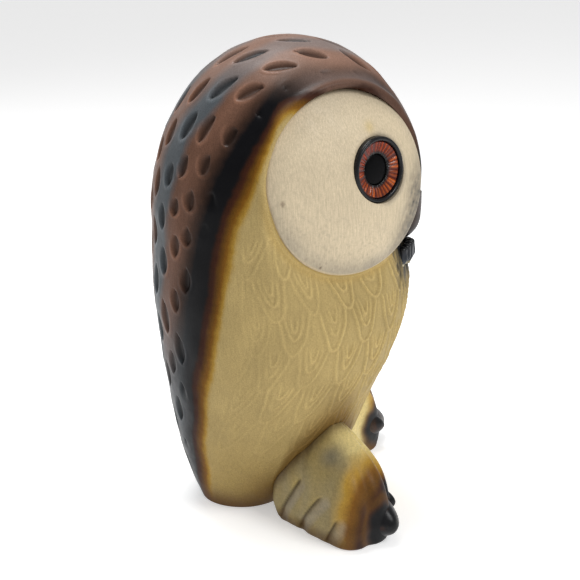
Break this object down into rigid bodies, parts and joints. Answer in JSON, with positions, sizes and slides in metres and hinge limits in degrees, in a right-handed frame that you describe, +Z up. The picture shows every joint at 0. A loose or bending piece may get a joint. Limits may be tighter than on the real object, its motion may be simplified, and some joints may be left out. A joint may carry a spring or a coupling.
{
  "type": "owl figurine",
  "caption": "Standing ceramic owl ornament with a dimpled mantle, domed face discs, set-in eyes, hooked beak, feather-lined breast and broad clawed feet.",
  "frame": {"origin": "centre of the flat underside of the body, on the vent hole's axis", "axes": "+Z up through the crown; the owl faces -Y, its right side is -X"},
  "size_m": [0.1124, 0.1076, 0.19],
  "materials": {
    "mantle": "satin airbrushed brown, copper and blue-black",
    "breast": "satin cream",
    "bisque": "unglazed, matt",
    "face": "satin ivory",
    "black_glaze": "gloss",
    "amber_glaze": "gloss",
    "beak": "satin dark brown",
    "bristle": "satin blue-black",
    "foot": "satin, shaded from cream to amber brown",
    "claw": "satin black"
  },
  "bodies": {
    "root": {"mantle_shell": "mantle", "breast_shell": "breast", "base_plate": "bisque", "face_disc_right": "face", "face_disc_left": "face", "eye_socket_right": "black_glaze", "eye_socket_left": "black_glaze", "iris_right": "amber_glaze", "iris_left": "amber_glaze", "pupil_right": "black_glaze", "pupil_left": "black_glaze", "beak": "beak", "bristle_tuft": "bristle", "foot_right": "foot", "foot_left": "foot", "claw_inner_right": "claw", "claw_outer_right": "claw", "claw_inner_left": "claw", "claw_outer_left": "claw"}
  },
  "joints": []
}
